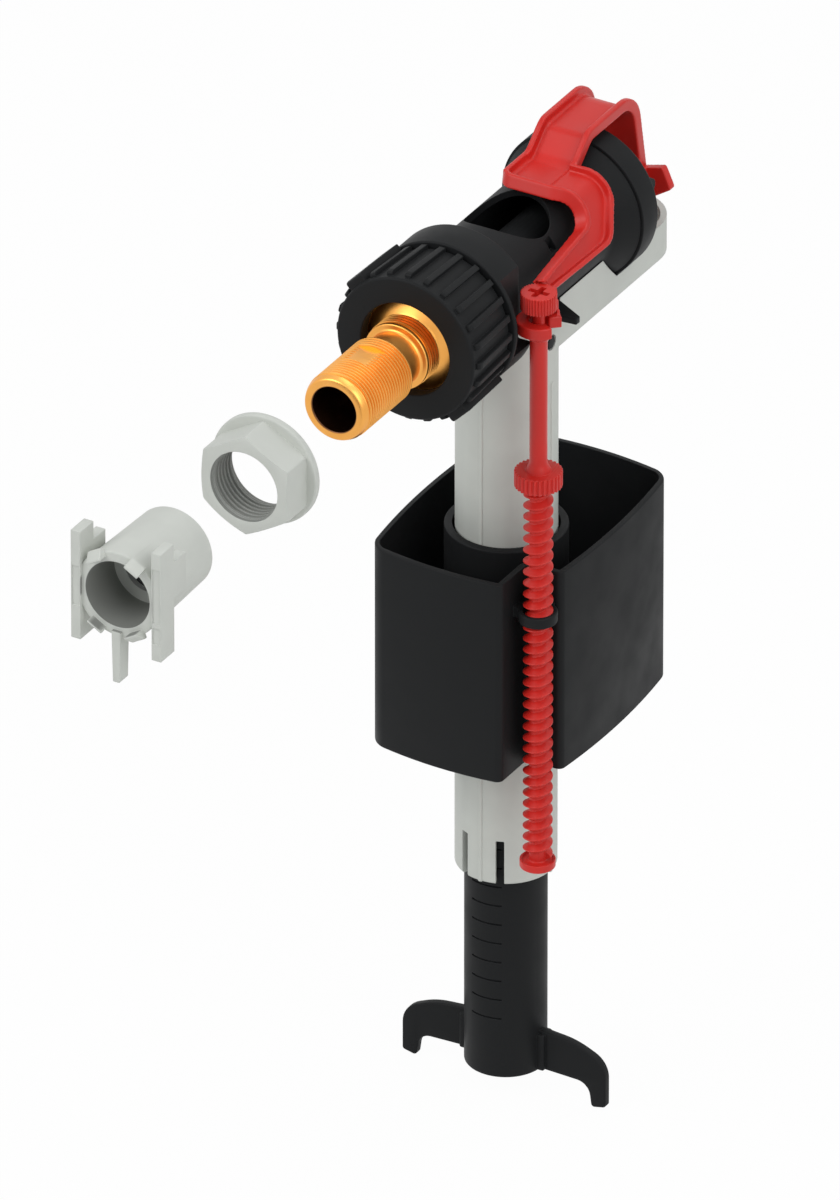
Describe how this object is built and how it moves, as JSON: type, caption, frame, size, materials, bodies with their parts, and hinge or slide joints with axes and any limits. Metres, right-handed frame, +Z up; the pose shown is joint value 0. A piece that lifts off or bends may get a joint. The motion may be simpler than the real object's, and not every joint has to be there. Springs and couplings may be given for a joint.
{
  "type": "toilet fill valve",
  "caption": "Side-inlet cistern fill valve: float cup on a screw spindle works a lever and pilot; telescopic hooked foot, threaded tail, union nut, counter nut and adapter.",
  "frame": {"origin": "centre of the wall seat, which is the union nut's front face, on the inlet's axis", "axes": "+Y runs along the inlet's axis into the cistern, +Z is up along the riser, and +X is the side that the spindle stands on"},
  "size_m": [0.0538, 0.2364, 0.2389],
  "materials": {
    "grey_plastic": "light grey moulded plastic, fine grained and matt",
    "black_plastic": "black moulded plastic, semi-matt",
    "red_plastic": "bright red moulded plastic, satin",
    "white_plastic": "natural white moulded plastic",
    "brass": "turned brass, bare",
    "rubber": "black sealing rubber"
  },
  "bodies": {
    "root": {"riser": "grey_plastic", "housing": "black_plastic", "inlet_tube": "black_plastic", "tube_o_ring": "rubber", "head_cap": "black_plastic", "hinge_pin_left": "black_plastic", "hinge_pin_right": "black_plastic", "pilot_nozzle": "brass", "diaphragm": "rubber", "diaphragm_plate": "white_plastic", "nipple": "brass", "union_washer": "rubber", "inlet_strainer": "white_plastic", "flow_limiter": "white_plastic"},
    "foot": {"foot": "black_plastic"},
    "lever": {"lever": "red_plastic", "pilot_pad": "rubber"},
    "spindle": {"spindle": "red_plastic"},
    "float": {"float": "black_plastic"},
    "union_nut": {"union_nut": "black_plastic"},
    "counter_nut": {"counter_nut": "grey_plastic"},
    "adapter": {"adapter": "grey_plastic", "adapter_seal": "rubber"}
  },
  "joints": [
    {"name": "spindle_lift", "type": "slide", "parent": "root", "child": "spindle", "axis": [0, 0, 1], "range_m": [0, 0.0045]},
    {"name": "lever_hinge", "type": "hinge", "parent": "root", "child": "lever", "pos_m": [0, 0.0908, 0.0015], "axis": [1, 0, 0], "range_deg": [-4.05, 0]},
    {"name": "level_adjust", "type": "slide", "parent": "spindle", "child": "float", "axis": [0, 0, 1], "range_m": [-0.06, 0.024]},
    {"name": "foot_extend", "type": "slide", "parent": "root", "child": "foot", "axis": [0, 0, 1], "range_m": [-0.02, 0.035]},
    {"name": "union_nut_turn", "type": "hinge", "parent": "root", "child": "union_nut", "pos_m": [0, 0, 0], "axis": [0, 1, 0], "continuous": true},
    {"name": "counter_nut_slide", "type": "slide", "parent": "root", "child": "counter_nut", "axis": [0, 1, 0], "range_m": [0, 0.05]},
    {"name": "adapter_slide", "type": "slide", "parent": "counter_nut", "child": "adapter", "axis": [0, 1, 0], "range_m": [0, 0.029]}
  ],
  "couplings": [
    {"joint": "lever_hinge", "follows": "spindle_lift", "rad_per_m": -15.625}
  ]
}
